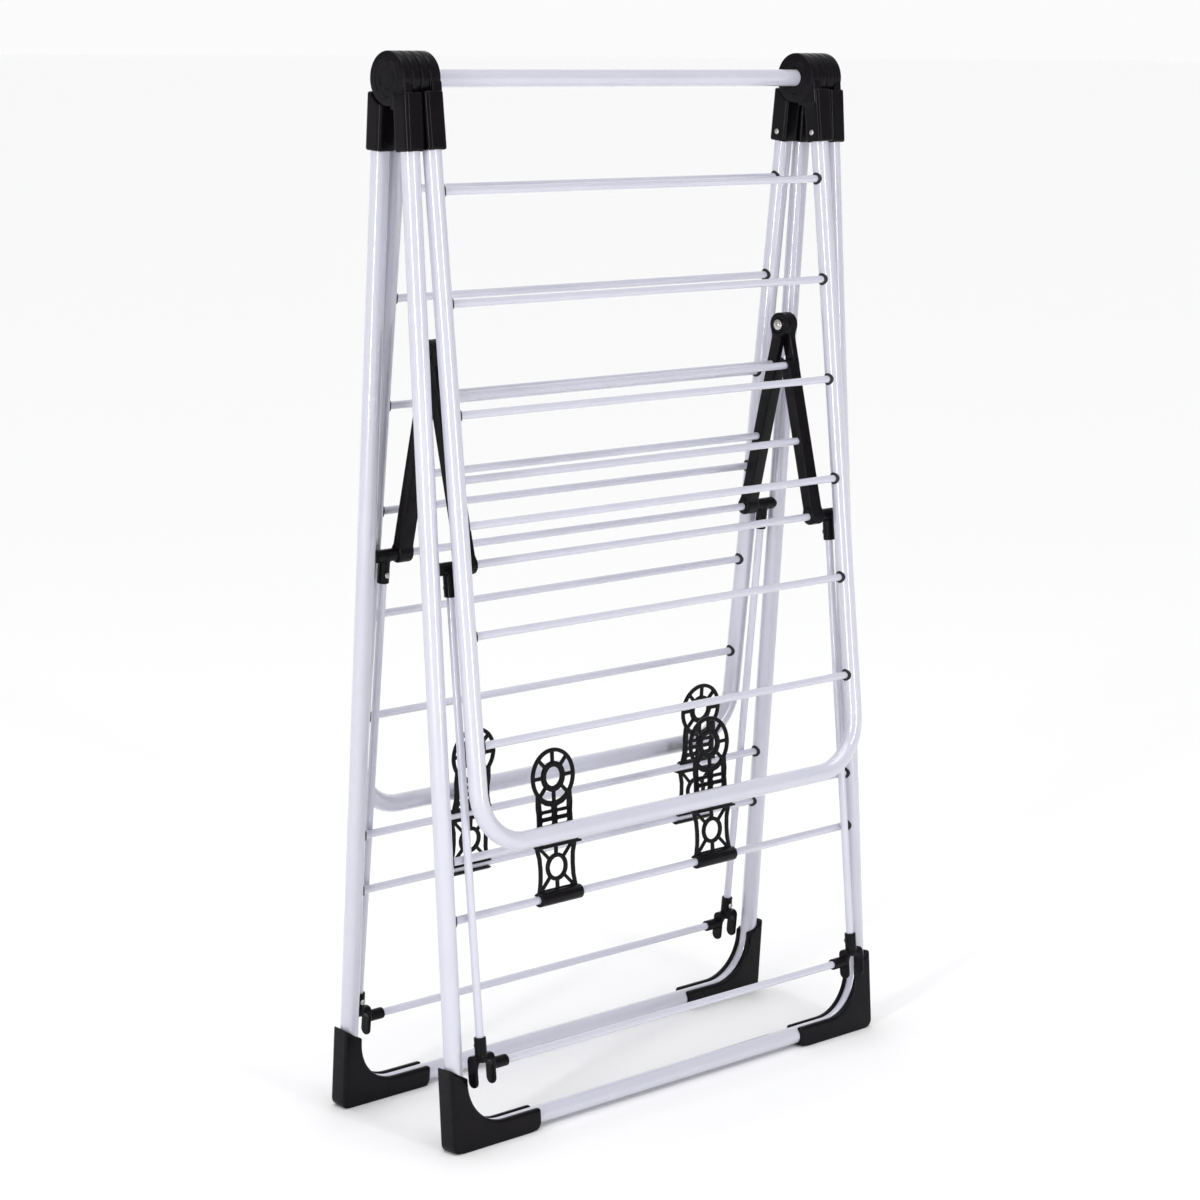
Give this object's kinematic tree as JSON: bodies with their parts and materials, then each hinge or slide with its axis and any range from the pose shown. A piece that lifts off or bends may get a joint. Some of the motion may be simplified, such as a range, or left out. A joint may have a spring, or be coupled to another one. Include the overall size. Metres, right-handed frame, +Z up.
{
  "type": "clothes drying rack",
  "caption": "Folding free-standing clothes drying rack with two hinged wings, a folding centre shelf, swing-out props and sliding shoe holders, standing folded.",
  "frame": {"origin": "on the floor, midway between the four feet, straight under the middle of the top rod", "axes": "+Z up; +X along the top rod, to the right as seen from the front; -Y is the front"},
  "size_m": [0.6056, 0.2172, 1.0659],
  "materials": {
    "white_tube": "gloss white powder coat",
    "black_plastic": "satin moulded",
    "screws": "zinc plated"
  },
  "bodies": {
    "front_leg": {"front_leg_frame": "white_tube", "front_leg_rod_upper": "white_tube", "front_leg_rod_lower": "white_tube", "front_leg_pivot_rod": "white_tube", "front_leg_socket_left": "black_plastic", "front_leg_socket_right": "black_plastic", "front_leg_foot_left": "black_plastic", "front_leg_foot_right": "black_plastic", "top_rod": "white_tube"},
    "front_wing": {"front_wing_frame": "white_tube", "front_wing_rod_1": "white_tube", "front_wing_rod_2": "white_tube", "front_wing_rod_3": "white_tube", "front_wing_rod_4": "white_tube", "front_wing_rod_5": "white_tube", "front_wing_rod_6": "white_tube", "front_wing_socket_left": "black_plastic", "front_wing_socket_right": "black_plastic"},
    "front_shelf": {"front_shelf_arm_left": "black_plastic", "front_shelf_arm_right": "black_plastic", "front_shelf_rod_1": "white_tube", "front_shelf_rod_2": "white_tube"},
    "front_prop": {"front_prop_upright_left": "white_tube", "front_prop_upright_right": "white_tube", "front_prop_bracket_left": "black_plastic", "front_prop_bracket_right": "black_plastic", "front_prop_cross_rod": "white_tube"},
    "front_left_shoe_holder": {"shoe_holder_front_left": "black_plastic"},
    "front_right_shoe_holder": {"shoe_holder_front_right": "black_plastic"},
    "back_leg": {"back_leg_frame": "white_tube", "back_leg_rod_upper": "white_tube", "back_leg_rod_lower": "white_tube", "back_leg_pivot_rod": "white_tube", "back_leg_socket_left": "black_plastic", "back_leg_socket_right": "black_plastic", "back_leg_foot_left": "black_plastic", "back_leg_foot_right": "black_plastic"},
    "back_wing": {"back_wing_frame": "white_tube", "back_wing_rod_1": "white_tube", "back_wing_rod_2": "white_tube", "back_wing_rod_3": "white_tube", "back_wing_rod_4": "white_tube", "back_wing_rod_5": "white_tube", "back_wing_rod_6": "white_tube", "back_wing_socket_left": "black_plastic", "back_wing_socket_right": "black_plastic"},
    "back_shelf": {"back_shelf_arm_left": "black_plastic", "back_shelf_arm_right": "black_plastic", "back_shelf_rod_1": "white_tube", "back_shelf_rod_2": "white_tube", "centre_hinge_screw_left": "screws", "centre_hinge_screw_right": "screws"},
    "back_prop": {"back_prop_upright_left": "white_tube", "back_prop_upright_right": "white_tube", "back_prop_bracket_left": "black_plastic", "back_prop_bracket_right": "black_plastic", "back_prop_cross_rod": "white_tube"},
    "back_left_shoe_holder": {"shoe_holder_back_left": "black_plastic"},
    "back_right_shoe_holder": {"shoe_holder_back_right": "black_plastic"}
  },
  "joints": [
    {"name": "fold", "type": "hinge", "parent": "front_leg", "child": "back_leg", "pos_m": [0, 0, 1.04], "axis": [1, 0, 0], "range_deg": [-6.8, 39.1]},
    {"name": "front_shelf_tilt", "type": "hinge", "parent": "front_leg", "child": "front_shelf", "pos_m": [0, -0.04939, 0.57448], "axis": [-1, 0, 0], "range_deg": [-7.4, 42]},
    {"name": "front_wing_lift", "type": "hinge", "parent": "front_leg", "child": "front_wing", "pos_m": [0, 0, 1.04], "axis": [-1, 0, 0], "range_deg": [0, 67.2]},
    {"name": "front_prop_swing", "type": "hinge", "parent": "front_leg", "child": "front_prop", "pos_m": [0, -0.04939, 0.57448], "axis": [-1, 0, 0], "range_deg": [0, 126]},
    {"name": "back_shelf_tilt", "type": "hinge", "parent": "back_leg", "child": "back_shelf", "pos_m": [0, 0.04939, 0.57448], "axis": [1, 0, 0], "range_deg": [-7.4, 42]},
    {"name": "back_wing_lift", "type": "hinge", "parent": "back_leg", "child": "back_wing", "pos_m": [0, 0, 1.04], "axis": [1, 0, 0], "range_deg": [0, 67.2]},
    {"name": "back_prop_swing", "type": "hinge", "parent": "back_leg", "child": "back_prop", "pos_m": [0, 0.04939, 0.57448], "axis": [1, 0, 0], "range_deg": [0, 126]},
    {"name": "front_left_holder_slide", "type": "slide", "parent": "front_leg", "child": "front_left_shoe_holder", "axis": [1, 0, 0], "range_m": [-0.087, 0.077]},
    {"name": "front_right_holder_slide", "type": "slide", "parent": "front_leg", "child": "front_right_shoe_holder", "axis": [1, 0, 0], "range_m": [-0.077, 0.153]},
    {"name": "back_left_holder_slide", "type": "slide", "parent": "back_leg", "child": "back_left_shoe_holder", "axis": [1, 0, 0], "range_m": [-0.089, 0.101]},
    {"name": "back_right_holder_slide", "type": "slide", "parent": "back_leg", "child": "back_right_shoe_holder", "axis": [1, 0, 0], "range_m": [-0.16, 0.042]}
  ],
  "couplings": [
    {"joint": "front_shelf_tilt", "follows": "fold", "ratio": 1.0694},
    {"joint": "front_prop_swing", "follows": "front_wing_lift", "ratio": 1.862},
    {"joint": "back_shelf_tilt", "follows": "fold", "ratio": 1.0694},
    {"joint": "back_prop_swing", "follows": "back_wing_lift", "ratio": 1.862}
  ]
}
